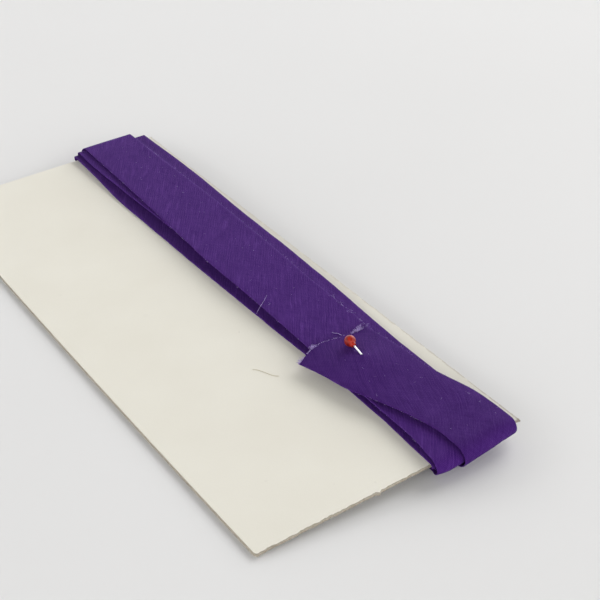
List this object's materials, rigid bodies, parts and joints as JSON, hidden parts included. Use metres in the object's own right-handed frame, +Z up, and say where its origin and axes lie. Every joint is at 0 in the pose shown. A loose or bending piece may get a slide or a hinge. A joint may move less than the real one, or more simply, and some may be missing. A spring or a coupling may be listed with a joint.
{
  "type": "roll of bias binding on a card",
  "caption": "Folded bias binding wound lengthwise round a flat card, its loose end brought over the turns and held by a ball-headed pin.",
  "frame": {"origin": "middle of the part's outline seen from above, at the height of the table that it lies on", "axes": "+Y along the card towards the end without the loose end, +X across it towards the long side with the binding, +Z up"},
  "size_m": [0.1008, 0.2502, 0.0133],
  "materials": {
    "card": "matt, cream",
    "binding": "plain-woven cotton cut on the bias, purple",
    "pin_head": "glossy, red",
    "pin_shank": "bright"
  },
  "bodies": {
    "root": {"card": "card", "binding_winding": "binding", "binding_end": "binding", "pin_head": "pin_head", "pin_shank": "pin_shank"}
  },
  "joints": []
}
